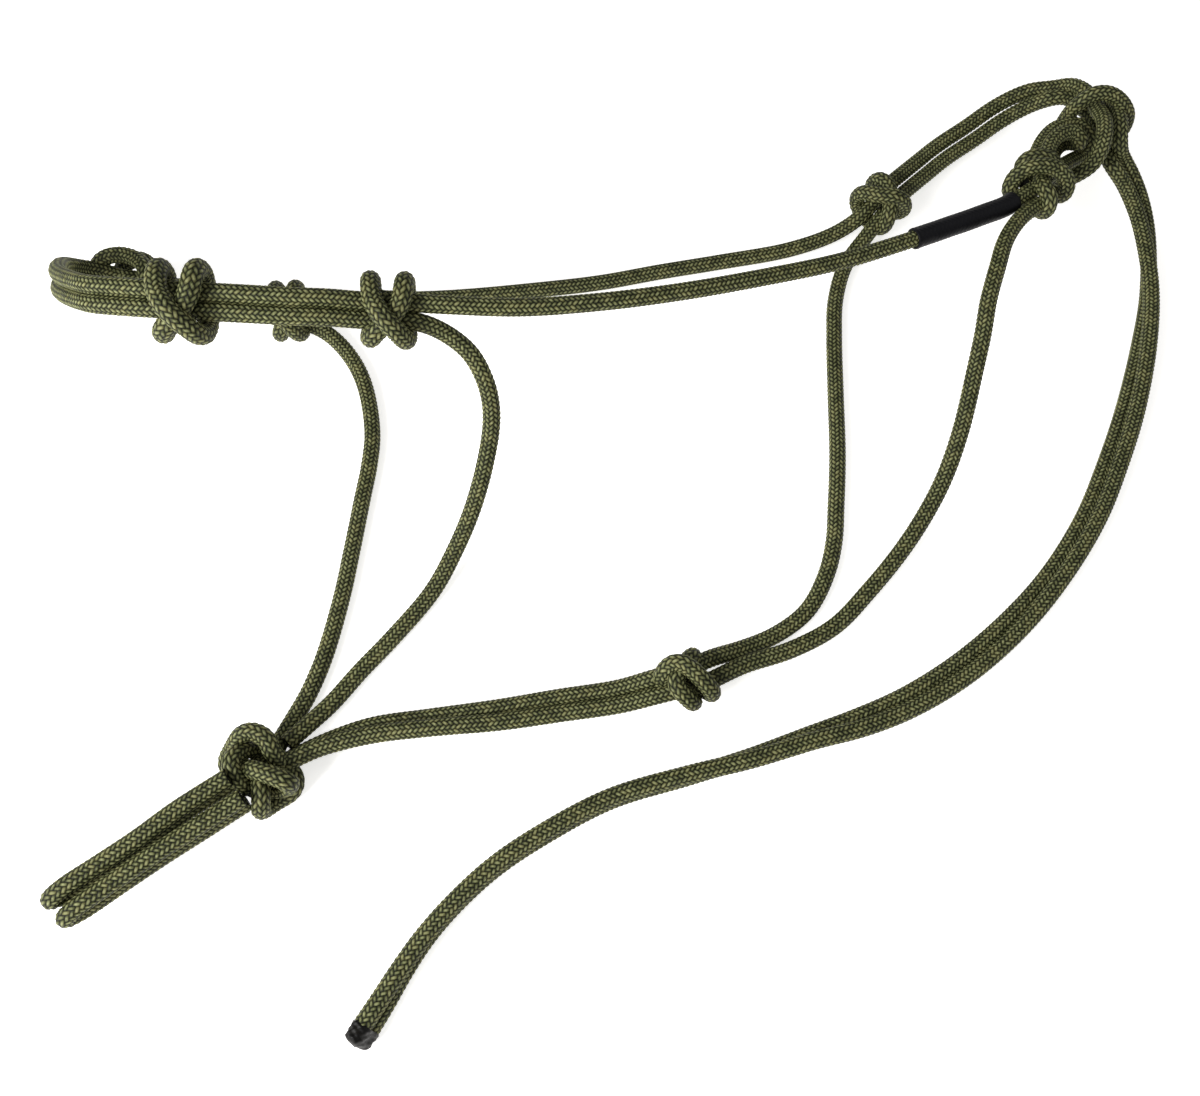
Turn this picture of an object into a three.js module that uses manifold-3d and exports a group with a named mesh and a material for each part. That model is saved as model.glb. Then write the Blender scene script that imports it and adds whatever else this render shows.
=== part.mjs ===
// Rope halter for a horse, lying on its side on a flat surface.
//
// It is one long braided rope, tied into a noseband, two cheek pieces, two chin strands, two throat
// strands, a doubled crown and a doubled tail. Each stretch between knots and each knot is its own mesh.
// Two strands lie side by side in the noseband, under the jaw, in the crown and in the tail.
//
// Units are millimetres, +Z is up, and the halter rests on the plane z = 0.
import * as THREE from 'three';
import { mergeVertices } from 'three/addons/utils/BufferGeometryUtils.js';
import Module from 'manifold-3d';

const wasm = await Module();
wasm.setup();

// ---- Driving dimensions ---------------------------------------------------------------------------

const ROPE_RADIUS = 3.175; // quarter-inch rope
const KNOT_RADIUS = 3.0; // the rope is pulled thinner where it is knotted
const PAIR_HALF = 3.43; // half the spacing of two strands that touch
const GAP = 0.35; // clearance between a knot and the rope that runs through it
const END_TRIM = 0.9; // strands that run on from each other inside a knot stop this short
const ROPE_SIDES = 8; // facets round the rope
const ROPE_STEP = 13; // spacing of the sections along a strand
const BEND_STEP = 6; // the same where the strand bends sharply
const TAIL_STEP = 13; // the same along the tail, which bends gently
const KNOT_STEP = 3.6; // spacing of the sections along a knot's turns
const SLEEVE_RADIUS = 4.25; // heat-shrink sleeve over one cheek piece
const SLEEVE_WALL = 0.7;
const TIP_LENGTH = 6.5; // melted end of the tail
const TIP_RADIUS = 3.9;
const LOOP_SWING = 35; // degrees, each lead loop swings away from the other
const TAIL_SWING = 40; // degrees, the hanging tail swings outwards
const SWING_STEPS = 4; // positions of a swinging strand that the knot beside it makes room for

// The routes below are laid out round a point near the middle, and this moves the base centre to zero.
const LAYOUT_SHIFT = [3, 4, 0.11];

// Directions that the strands of a pair are set out from.
const UP = [0, -0.38, 0.92]; // square to the pairs that lie nearly flat
const RING_AXIS = [0, 0.79, 0.61]; // axis of the noseband, which leans back as it stands on its far side
const RING_FRONT = [0, -0.61, 0.79];

// ---- Routes ---------------------------------------------------------------------------------------
// A single strand is a list of [x, y, z]. A pair adds the angle, in degrees, from its right-hand side
// to the line from the second strand to the first, so 0 is side by side and 90 is one on the other.

const NOSE_FRONT = [
  [-152.5, 32, 88, 90], [-163, 32.5, 88, 90], [-173.5, 34, 87, 90], [-184.5, 37, 84, 90],
  [-196.5, 45.5, 75, 90], [-209.5, 59, 60, 90], [-219, 73.5, 44, 90], [-225, 85.5, 29, 90],
  [-223, 91, 20, 90], [-216, 91.5, 17, 90], [-209, 89.5, 16, 90],
];
const NOSE_NEAR = [
  [-152.5, 31.5, 88, 90], [-141, 31, 88, 90], [-130, 31, 87, 90], [-117, 31.5, 85, 90],
  [-104.5, 33, 82, 90], [-93.5, 34, 79, 90], [-86, 35, 78, 90],
];
const NOSE_FAR = [
  [-209, 89.5, 16, 90], [-197.5, 88, 15.5, 90], [-185, 85.5, 15, 90], [-170.5, 83, 14, 90],
  [-156.5, 81, 13.5, 90], [-142.5, 78.5, 13.5, 90],
];
const CHEEK_NEAR = [
  [-86, 37.5, 80], [-77, 37, 79], [-65, 37.5, 77], [-41.5, 40, 72], [-14, 45, 68], [15, 53.5, 62],
  [45, 64.5, 55], [76.5, 77, 48], [107.5, 92, 42], [129.5, 102.5, 39.5], [147, 111, 38], [158, 119, 37],
];
const CHEEK_FAR = [
  [-142, 81, 15.5], [-133, 84, 11], [-114, 89, 5.5], [-77, 92, 3.2], [-39, 96, 3.2], [-14, 99.5, 3.2],
  [11.5, 105, 3.2], [37, 110, 3.2], [67, 116.5, 3.2], [86, 122.5, 6], [96, 127, 11], [102, 132.5, 14],
];
const CHIN_NEAR = [
  [-86, 32, 76], [-76, 32, 75], [-67.5, 31.5, 69], [-59.5, 27.5, 63], [-55, 21.5, 57],
  [-53, 16, 50], [-53, 10, 43], [-56, -1, 32], [-61.5, -14, 20], [-68.5, -26, 10],
  [-76.5, -39.5, 4.5], [-90.5, -57.5, 3.2], [-101, -70, 3.5], [-110.5, -83, 5], [-118, -91.5, 7],
];
const CHIN_FAR = [
  [-143, 76, 11.5], [-135.5, 76, 9], [-127, 74, 5], [-118.5, 66.5, 3.2], [-110, 52, 3.2],
  [-104.5, 29, 3.2], [-104.5, 14, 3.2], [-106, 0, 3.2], [-108.5, -24, 3.2], [-110.5, -41, 3.2],
  [-115, -65, 3.2], [-119.5, -79, 3.2], [-122.5, -86, 3.8], [-125, -92.5, 5.5],
];
const JAW = [
  [-120.5, -102.5, 7, 88], [-112.5, -98.5, 6.8, 85], [-95.5, -93, 6.5, 68], [-74.5, -90, 6.2, 62],
  [-49.5, -87, 5.7, 45], [-28.5, -83.5, 5.2, 34], [-7, -80.5, 6.4, 30], [5.5, -78, 10, 15],
  [16.5, -76, 13, 0],
];
const THROAT_NEAR = [
  [17.8, -79.8, 11.8], [27, -75.2, 11], [38, -69.5, 9], [55.5, -63, 6], [72.5, -53.5, 4.5], [86, -40, 5],
  [99, -25, 7], [109, -11, 9], [117, 3, 13], [123.5, 20, 20], [129, 41.5, 29], [132, 54, 34],
  [134.5, 66.5, 38], [139, 80, 40], [144, 93, 40], [152.5, 105.5, 38], [160, 112.5, 36],
];
const THROAT_FAR = [
  [17.2, -72.6, 14.6], [26, -67.6, 11], [37, -63, 6.5], [50.5, -56.5, 3.2], [63, -47, 3.2], [71.5, -32, 3.2],
  [75.5, -18, 3.2], [77, -6, 3.2], [79.5, 17.5, 3.2], [81, 46, 3.2], [82.5, 72.5, 3.2], [84.5, 91, 3.2],
  [90, 108, 4.5], [98.5, 119, 8], [104.5, 126, 11.5],
];
const CROWN = [
  [106, 134, 13.5, 0], [114.5, 143, 12, 0], [125, 154, 9.5, 0], [136, 164.5, 8.5, 0],
  [149, 173.5, 10, 0], [162, 181.5, 14, 0], [173.5, 184.5, 19.5, 15], [182, 183, 24, 35],
];
// The tie: a doubled eye above the near poll knot, and the crown's two strands hitched round it.
const TIE_LOOP_OUTER = [
  [158.5, 128, 34], [163, 134.5, 33], [166.5, 143, 30.5], [170.5, 151, 30], [175.5, 157, 29.5],
  [180, 160, 29], [185, 161.5, 28.5], [189.5, 160.5, 28], [192, 157.5, 27], [193, 154.5, 25],
  [192.5, 152.5, 22.5], [190, 151.5, 20.5], [186.5, 149, 21.5], [181.5, 144.5, 24],
  [176.5, 139.5, 27], [170, 133, 29],
];
const TIE_LOOP_INNER = [
  [165, 128, 34], [166.5, 133.5, 34.5], [168.5, 139, 34.5], [171.5, 146, 34.5],
  [174.5, 149.5, 34.5], [177.5, 151.5, 34.3], [181.5, 153, 33.5], [184.5, 151.5, 32.5],
  [186.5, 150.5, 30.5], [186.5, 151.5, 28], [185, 154.5, 25.5], [182.5, 156, 23.8],
  [180, 154.5, 23], [176, 148.5, 24.5], [170.5, 140, 28], [166, 134, 29],
];
const CROWN_HITCH_A = [
  [182, 179.8, 24.8], [186, 179.8, 25], [189.5, 178.7, 24.5], [192, 176.5, 24],
  [194.5, 173.5, 23.7], [197.5, 169, 23], [199.5, 163.5, 22.5], [200, 157, 22.5], [200, 150, 23],
  [200.8, 144, 23.7],
];
const CROWN_HITCH_B = [
  [182, 186.3, 23.3], [188.5, 184.3, 27], [192, 178.8, 30], [194.5, 172, 31.5], [195, 165, 32.5],
  [195, 159.5, 35], [194, 153, 37], [193, 147.5, 37], [191.5, 143, 36], [190, 139.5, 34],
  [188, 137, 31.5], [185, 136, 29], [182.5, 136, 26], [179.5, 138, 21.5], [179, 145, 17],
  [180.5, 154, 15], [182.5, 163, 15.5], [184.5, 168, 20], [185, 168, 26], [185.5, 167.5, 31],
  [187.3, 167.2, 35.5], [190, 168, 38], [193.5, 168.3, 39.2], [198.5, 168, 38.7],
  [203, 166.5, 36.5], [206.5, 165, 33], [208.5, 164.5, 29], [209, 164, 25], [207.5, 162, 22],
  [205.5, 160, 20],
];
const HITCH_TURN = [
  [201, 177.5, 25.5], [202, 173, 28.5], [202.5, 166.5, 31.5], [202.5, 160.5, 33.5],
  [202, 155, 33.7], [202, 151, 31.5], [203.3, 149.3, 28], [205.3, 149, 24.3],
];
const TAIL = [
  [203, 146.5, 24, 12], [209, 141.5, 18.5, 20], [214, 134.5, 13, 30], [216.5, 123, 9.5, 42],
  [215, 95, 6.6, 72],
  [207.5, 66.5, 6.7, 98], [196.5, 36, 6.4, 116], [185.5, 12, 6.2, 121], [173.5, -10.5, 6.2, 121],
  [156.5, -34, 6.1, 121], [138.5, -53, 5.7, 135], [117.5, -70, 5.4, 141], [96.5, -82.5, 5.8, 132],
  [78.5, -90, 6.2, 120], [61, -95.5, 6.6, 100], [38.5, -103, 6.6, 86], [16.5, -109, 6.4, 72],
  [-10.5, -117, 6.4, 70], [-33.5, -129, 6.4, 70], [-50, -140, 6.5, 73], [-63, -152, 6.6, 76],
  [-72, -162.5, 6.6, 76], [-79, -173, 6.5, 72], [-84.5, -182.5, 6.6, 65], [-89, -190, 7.2, 60],
];
// Each lead loop starts at its swing axis, runs out, bends back under itself and returns to the axis.
const LEAD_LOOP_A = [
  [-141, -114, 21.5], [-154.5, -123.5, 22], [-166, -133, 22.5], [-177.5, -141.5, 23], [-188, -149, 23],
  [-192.5, -152.5, 20], [-188, -149, 16.6], [-177.5, -141.5, 16.3], [-166, -133, 15.8],
  [-154.5, -123.5, 15.3], [-141, -114, 14.8],
];
const LEAD_LOOP_B = [
  [-136, -120.5, 19.5], [-148, -129, 20], [-159.5, -137, 20.5], [-173, -147, 21], [-183, -154.5, 21],
  [-187.5, -158, 18], [-183, -154.5, 14.6], [-173, -147, 14.3], [-159.5, -137, 13.8],
  [-148, -129, 13.3], [-136, -120.5, 12.8],
];

// Knots, in their own frame: x along the pair that runs through, y across it, z towards the front.
// Each is a ring of two turns round the pair, whose turns cross once.
const OVERHAND_TURNS = [
  [-6.3, 0, -7.3], [-6.3, 4.5, -7], [-6.3, 9, -4.4], [-6.2, 10.5, 0.5], [-5.8, 8, 5.6], [-4.5, 3, 8.8],
  [-0.5, -2.5, 11.4], [4, -7.5, 9], [6.6, -10.8, 2.8], [7, -9, -4], [6.6, -3, -7.2], [6.4, 3, -7.2],
  [6.3, 9, -4.4], [6.2, 10.6, 0.8], [6, 8, 5.6], [4.8, 2.5, 7.2], [0.8, -3, 6.4], [-4.2, -8.2, 5],
  [-6.8, -10.8, -0.8], [-6.6, -8.6, -5.4], [-6.4, -4, -7.2],
];
const THROAT_TURNS = [
  [-6.5, -2.2, -7.4], [-10.2, 0, -4.2], [-11.3, 3, 0.5], [-9.5, 7, 5], [-5, 9.7, 7.5],
  [-0.4, 8.2, 9.3], [3.4, 3.4, 9.8], [6.7, -1.9, 9.2], [9, -6.5, 5.5], [9.3, -9, -1],
  [6.5, -6, -6.5], [3, 1, -7.6], [4, 7.5, -5],
  [4.8, 10.2, 0], [1.5, 8.8, 3], [-3.5, 5.2, 5.6], [-6, 1.5, 7.6], [-6, -1, 7.8], [-4, -5, 7.4],
  [-1, -9.5, 4.5], [0.7, -11.2, 0], [0, -9, -5], [-2.6, -4, -7.4],
];
// These three are set out in place.
const NOSE_KNOT_FAR_TURNS = [
  [-219.5, 96, 17], [-218, 97, 20], [-214.5, 98.5, 22], [-209.5, 99, 23], [-204.5, 98, 23.5],
  [-199.5, 95, 24], [-196, 90, 25], [-196.5, 85.5, 23], [-200.5, 84.5, 17], [-207, 88, 10],
  [-214, 97.5, 9], [-211, 101, 13], [-204.5, 101, 17], [-200.5, 100, 18], [-198, 98, 15],
  [-201, 97, 9], [-208, 96, 5], [-215.5, 94.5, 4.5], [-220.5, 94.5, 8], [-221.5, 95, 13],
];
const POLL_KNOT_NEAR_TURNS = [
  [151.5, 122.5, 34], [152, 124.5, 38], [155, 125.5, 42], [160.5, 126, 44], [166.5, 125.5, 43.5],
  [171.5, 123.5, 41], [173.5, 121.5, 37], [173.5, 121.5, 32], [171.5, 125.5, 28],
  [166.5, 128, 29], [162, 132.5, 29], [158.5, 134.5, 32], [159.5, 136, 36], [163, 136, 38],
  [167, 135, 38], [171, 133.5, 36], [169.5, 130, 35.5], [165, 127.5, 36], [162.5, 122.5, 38.5],
  [162.5, 117, 41], [164, 113, 40.5], [164.5, 111.5, 36.5], [164.5, 114, 31], [163.5, 121, 27],
  [160, 124, 27], [155, 123, 29.5],
];
// The chin knot is a rosette that binds the chin, jaw and lead loop strands.
const CHIN_KNOT_TURNS = [
  [-139.5, -106, 7.5], [-136.5, -107.5, 12], [-132.5, -109, 17.5], [-128, -110.5, 20],
  [-122, -112.5, 20], [-119.5, -113.5, 18.5], [-120, -113.5, 13], [-123, -114, 9.5],
  [-128, -114, 8], [-133, -114, 9], [-135.8, -113.3, 14], [-138, -111, 18.5], [-139, -107.5, 20],
  [-138.3, -104, 18.5], [-136, -101.5, 14], [-133.5, -100.5, 9], [-132.5, -105, 8.5],
  [-131.5, -109.5, 11], [-129, -115.5, 16], [-129, -120, 14], [-130, -121.5, 9.5],
  [-129.5, -120, 5], [-126.5, -117.5, 4.5], [-121, -114, 5], [-120, -110, 6.5], [-123, -106, 9],
  [-125.5, -104, 12.5], [-127, -102, 16], [-128.5, -98.5, 18], [-134, -96, 18.5],
  [-137.5, -97, 17], [-140, -98.5, 13.5], [-142.5, -100.5, 9.5], [-144.5, -103, 7],
  [-144.5, -106.5, 5], [-142.5, -106.5, 5],
];

// Where each knot sits: its centre, its scale, the direction of the pair through it, and the way it faces.
const KNOTS = {
  nose_knot_near: {
    turns: OVERHAND_TURNS, scale: [1, 1, 1], at: [-152.5, 31.5, 88], along: [1, 0, -0.03], front: RING_FRONT,
  },
  cheek_knot_near: {
    turns: OVERHAND_TURNS, scale: [0.92, 0.92, 0.95], at: [-86, 35, 78], along: [1, 0.03, -0.1],
    front: RING_FRONT,
  },
  cheek_knot_far: {
    turns: OVERHAND_TURNS, scale: [0.63, 0.87, 0.9], at: [-140.5, 78.5, 13.5], along: [1, 0.05, 0],
    front: RING_FRONT,
  },
  throat_knot: {
    turns: THROAT_TURNS, scale: [0.78, 0.76, 0.88], at: [17, -76, 13], along: [0.97, 0.2, 0.05], front: UP,
  },
  poll_knot_far: {
    turns: OVERHAND_TURNS, scale: [0.8, 0.8, 0.9], at: [104.5, 132.5, 13.5], along: [0.72, 0.69, 0], front: UP,
  },
};

// ---- Geometry helpers -----------------------------------------------------------------------------

function vectors(route) {
  return route.map(([x, y, z]) => new THREE.Vector3(x, y, z));
}

// The two strands of a pair, set out either side of its centre line.
function strandsOfPair(route, upward) {
  const centre = new THREE.CatmullRomCurve3(vectors(route), false, 'centripetal');
  const up = new THREE.Vector3(...upward);
  const first = [];
  const second = [];
  route.forEach((point, index) => {
    const tangent = centre.getTangent(index / (route.length - 1));
    const right = new THREE.Vector3().crossVectors(tangent, up).normalize();
    const raised = new THREE.Vector3().crossVectors(right, tangent);
    const angle = THREE.MathUtils.degToRad(point[3]);
    const offset = right.multiplyScalar(Math.cos(angle)).addScaledVector(raised, Math.sin(angle));
    const middle = new THREE.Vector3(point[0], point[1], point[2]);
    first.push(middle.clone().addScaledVector(offset, PAIR_HALF));
    second.push(middle.clone().addScaledVector(offset, -PAIR_HALF));
  });
  return [first, second];
}

// The noseband's strands are set out along the ring's axis, whichever way the ring is bending.
function strandsOfRing(route) {
  const axis = new THREE.Vector3(...RING_AXIS);
  const shift = (sign) => vectors(route).map((p) => p.addScaledVector(axis, sign * PAIR_HALF));
  return [shift(1), shift(-1)];
}

function circle(radius, sides) {
  const shape = new THREE.Shape();
  for (let i = 0; i < sides; i += 1) {
    const angle = ((i + 0.5) / sides) * Math.PI * 2;
    const x = radius * Math.cos(angle);
    const y = radius * Math.sin(angle);
    if (i === 0) shape.moveTo(x, y);
    else shape.lineTo(x, y);
  }
  shape.closePath();
  return shape;
}

function tubeAlong(points, radius, step) {
  const curve = new THREE.CatmullRomCurve3(points, false, 'centripetal');
  const steps = Math.max(2, Math.round(curve.getLength() / step));
  return new THREE.ExtrudeGeometry(circle(radius, ROPE_SIDES), {
    steps,
    extrudePath: curve,
    bevelEnabled: false,
  });
}

function toSolid(geometry) {
  const bare = geometry.clone();
  bare.deleteAttribute('normal');
  bare.deleteAttribute('uv');
  const merged = mergeVertices(bare, 1e-4);
  return new wasm.Manifold(
    new wasm.Mesh({
      numProp: 3,
      vertProperties: merged.attributes.position.array,
      triVerts: new Uint32Array(merged.index.array),
    }),
  );
}

function toGeometry(solid) {
  const mesh = solid.getMesh();
  const geometry = new THREE.BufferGeometry();
  geometry.setAttribute('position', new THREE.BufferAttribute(new Float32Array(mesh.vertProperties), 3));
  geometry.setIndex(new THREE.BufferAttribute(new Uint32Array(mesh.triVerts), 1));
  const flat = geometry.toNonIndexed();
  flat.computeVertexNormals();
  return flat;
}

// A strand with room all round it and past its ends, for cutting its way through a knot.
function clearanceOf(points, radius, step) {
  const first = points[0].clone().sub(points[1]).setLength(GAP).add(points[0]);
  const last = points.at(-1).clone().sub(points.at(-2)).setLength(GAP).add(points.at(-1));
  const longer = [first, ...points.slice(1, -1), last];
  return toSolid(tubeAlong(longer, radius + GAP, step));
}

// A ring of rope, whose two ends meet at its first point with a small gap.
function ringOfRope(points) {
  const ring = new THREE.CatmullRomCurve3(points, true, 'centripetal');
  const count = points.length * 2;
  const trim = GAP / ring.getLength();
  const turns = [];
  for (let i = 0; i <= count; i += 1) {
    turns.push(ring.getPointAt(((1 - trim) * i) / count));
  }
  return toSolid(tubeAlong(turns, KNOT_RADIUS, KNOT_STEP));
}

function roundEnd(points, radius) {
  const ball = new THREE.SphereGeometry(radius, ROPE_SIDES, 6);
  ball.translate(points[0].x, points[0].y, points[0].z);
  return toSolid(ball);
}

function turnedAbout(points, pivot, degrees) {
  const axis = new THREE.Vector3(0, 0, 1);
  const angle = THREE.MathUtils.degToRad(degrees);
  return points.map((p) => p.clone().sub(pivot).applyAxisAngle(axis, angle).add(pivot));
}

// Takes out of a solid the space that strands sweep as they swing about an upright axis.
function withoutSwing(solid, strands, pivot, degrees) {
  let result = solid;
  for (const points of strands) {
    result = result.subtract(roundEnd(points, ROPE_RADIUS + GAP));
    result = result.subtract(roundEnd([...points].reverse(), ROPE_RADIUS + GAP));
  }
  for (let k = 0; k <= SWING_STEPS; k += 1) {
    for (const points of strands) {
      const turned = turnedAbout(points, pivot, (degrees * k) / SWING_STEPS);
      result = result.subtract(clearanceOf(turned, ROPE_RADIUS, BEND_STEP));
    }
  }
  return result;
}

// ---- Materials and assembly -----------------------------------------------------------------------

const halter = new THREE.Group();
halter.position.set(...LAYOUT_SHIFT);

function addMesh(name, geometry, colour, roughness) {
  const material = new THREE.MeshStandardMaterial({ color: colour, roughness, metalness: 0 });
  const mesh = new THREE.Mesh(geometry, material);
  mesh.name = name;
  halter.add(mesh);
}

const OLIVE = 0x4b4d33;
const BLACK = 0x16171c;

function addRope(name, geometry) {
  addMesh(name, geometry, OLIVE, 0.85);
}

// ---- Strands --------------------------------------------------------------------------------------

const strands = {};

[strands.noseband_front_upper, strands.noseband_front_lower] = strandsOfRing(NOSE_FRONT);
[strands.noseband_near_upper, strands.noseband_near_lower] = strandsOfRing(NOSE_NEAR);
[strands.noseband_far_upper, strands.noseband_far_lower] = strandsOfRing(NOSE_FAR);
strands.cheek_piece_near = vectors(CHEEK_NEAR);
strands.cheek_piece_far = vectors(CHEEK_FAR);
strands.chin_strand_near = vectors(CHIN_NEAR);
strands.chin_strand_far = vectors(CHIN_FAR);
[strands.jaw_strand_a, strands.jaw_strand_b] = strandsOfPair(JAW, UP);
strands.throat_strand_near = vectors(THROAT_NEAR);
strands.throat_strand_far = vectors(THROAT_FAR);
[strands.crown_strand_a, strands.crown_strand_b] = strandsOfPair(CROWN, UP);

const tailStrands = strandsOfPair(TAIL, UP);
const leadLoops = { lead_loop_a: vectors(LEAD_LOOP_A), lead_loop_b: vectors(LEAD_LOOP_B) };

function trimmed(points) {
  const copy = points.map((p) => p.clone());
  copy[0].add(copy[1].clone().sub(copy[0]).setLength(END_TRIM));
  copy[copy.length - 1].add(copy.at(-2).clone().sub(copy.at(-1)).setLength(END_TRIM));
  return copy;
}

const SHARPLY_BENT = ['noseband_front_upper', 'noseband_front_lower'];

function stepOf(name) {
  return SHARPLY_BENT.includes(name) ? BEND_STEP : ROPE_STEP;
}

for (const name of Object.keys(strands)) {
  strands[name] = trimmed(strands[name]);
  addRope(name, tubeAlong(strands[name], ROPE_RADIUS, stepOf(name)));
}

// ---- Lead loops, which swing about an upright axis beside the chin knot ------------------------------

for (const [name, points] of Object.entries(leadLoops)) {
  const rope = toSolid(tubeAlong(points, ROPE_RADIUS, BEND_STEP));
  const ends = roundEnd(points, ROPE_RADIUS).add(roundEnd([...points].reverse(), ROPE_RADIUS));
  addRope(name, toGeometry(rope.add(ends)));
}

// ---- Tail, which swings about an upright axis below the hitch ----------------------------------------

tailStrands.forEach((points, index) => {
  const rope = toSolid(tubeAlong(trimmed(points), ROPE_RADIUS, TAIL_STEP));
  const name = ['tail_strand_a', 'tail_strand_b'][index];
  addRope(name, toGeometry(rope.add(roundEnd(points, ROPE_RADIUS))));
});

// ---- Heat-shrink sleeve on the near cheek piece -----------------------------------------------------

const SLEEVE_ROUTE = [
  [107.5, 92, 42], [118.5, 97.3, 40.7], [129.5, 102.5, 39.5], [138.5, 106.8, 38.7],
  [147, 111, 38], [150.5, 113.5, 37.7],
];
const sleeveSection = circle(SLEEVE_RADIUS, 12);
sleeveSection.holes.push(circle(SLEEVE_RADIUS - SLEEVE_WALL, 12));
const sleeveCurve = new THREE.CatmullRomCurve3(vectors(SLEEVE_ROUTE), false, 'centripetal');
const sleeve = new THREE.ExtrudeGeometry(sleeveSection, {
  steps: 8,
  extrudePath: sleeveCurve,
  bevelEnabled: false,
});
addMesh('label_sleeve', sleeve, BLACK, 0.5);

// ---- Knots ------------------------------------------------------------------------------------------

const strandSolids = Object.entries(strands).map(([name, points]) => ({
  name,
  points,
  room: clearanceOf(points, ROPE_RADIUS, stepOf(name)),
}));
const sleeveRoom = clearanceOf(vectors(SLEEVE_ROUTE), SLEEVE_RADIUS, BEND_STEP);

function placed({ turns, scale, at, along, front }) {
  const x = new THREE.Vector3(...along).normalize();
  const z = new THREE.Vector3(...front);
  z.addScaledVector(x, -z.dot(x)).normalize();
  const y = new THREE.Vector3().crossVectors(z, x);
  const basis = new THREE.Matrix4().makeBasis(x, y, z).setPosition(...at);
  return vectors(turns).map((p) => p.multiply(new THREE.Vector3(...scale)).applyMatrix4(basis));
}

function withoutStrands(solid) {
  return strandSolids.reduce((left, strand) => left.subtract(strand.room), solid);
}

// Small offcuts are dropped: the largest body is the knot.
function largestBody(solid) {
  return solid.decompose().reduce((best, body) => (body.volume() > best.volume() ? body : best));
}

const knotTurns = {
  nose_knot_far: vectors(NOSE_KNOT_FAR_TURNS),
  poll_knot_near: vectors(POLL_KNOT_NEAR_TURNS),
};
for (const [name, knot] of Object.entries(KNOTS)) knotTurns[name] = placed(knot);

// The tie's strands make room for each other and the tail, in the order they are listed.
const tieRoutes = {
  crown_hitch_b: vectors(CROWN_HITCH_B),
  hitch_turn: vectors(HITCH_TURN),
  crown_hitch_a: vectors(CROWN_HITCH_A),
  tie_loop_outer: vectors(TIE_LOOP_OUTER),
  tie_loop_inner: vectors(TIE_LOOP_INNER),
};
const tieRooms = [];
for (const [name, points] of Object.entries(tieRoutes)) {
  const line = trimmed(points);
  let solid = withoutStrands(toSolid(tubeAlong(line, ROPE_RADIUS, KNOT_STEP * 1.4)));
  solid = withoutSwing(solid, tailStrands, tailStrands[1][0], TAIL_SWING).subtract(sleeveRoom);
  for (const room of tieRooms) solid = solid.subtract(room);
  tieRooms.push(clearanceOf(line, ROPE_RADIUS, KNOT_STEP * 1.4));
  addRope(name, toGeometry(largestBody(solid)));
}

for (const [name, turns] of Object.entries(knotTurns)) {
  let knot = withoutStrands(ringOfRope(turns)).subtract(sleeveRoom);
  if (name === 'poll_knot_near') {
    for (const room of tieRooms) knot = knot.subtract(room);
  }
  addRope(name, toGeometry(largestBody(knot)));
}

let chinKnot = withoutStrands(ringOfRope(vectors(CHIN_KNOT_TURNS)));
const loopSwings = { lead_loop_a: -LOOP_SWING, lead_loop_b: LOOP_SWING };
for (const [name, points] of Object.entries(leadLoops)) {
  chinKnot = withoutSwing(chinKnot, [points], points[0], loopSwings[name]);
}
addRope('chin_knot', toGeometry(largestBody(chinKnot)));

// ---- Melted end of the tail ---------------------------------------------------------------------------

const tailEnd = new THREE.Vector3(...TAIL.at(-1).slice(0, 3));
const tailDirection = tailEnd.clone().sub(new THREE.Vector3(...TAIL.at(-2).slice(0, 3))).normalize();
const tipOutline = new THREE.Shape();
tipOutline.absarc(PAIR_HALF, 0, TIP_RADIUS, -Math.PI / 2, Math.PI / 2);
tipOutline.absarc(-PAIR_HALF, 0, TIP_RADIUS, Math.PI / 2, (Math.PI * 3) / 2);
const tip = new THREE.ExtrudeGeometry(tipOutline, {
  depth: TIP_LENGTH,
  curveSegments: 8,
  bevelEnabled: false,
});
const across = tailStrands[0].at(-1).clone().sub(tailStrands[1].at(-1)).normalize();
const tipUp = new THREE.Vector3().crossVectors(tailDirection, across);
const tipFrame = new THREE.Matrix4().makeBasis(across, tipUp, tailDirection);
tip.applyMatrix4(tipFrame.setPosition(tailEnd.clone().addScaledVector(tailDirection, GAP)));
addMesh('tail_tip', tip, BLACK, 0.35);

export default halter;
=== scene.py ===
"""Blender 4.5 scene: a braided rope halter lying on a pale floor.

Every rope is a tube with a real herringbone braid in its surface, swept along the same route as its
CAD solid. Units are metres, except the routes, which are written in millimetres and scaled once.
"""

import math

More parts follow.
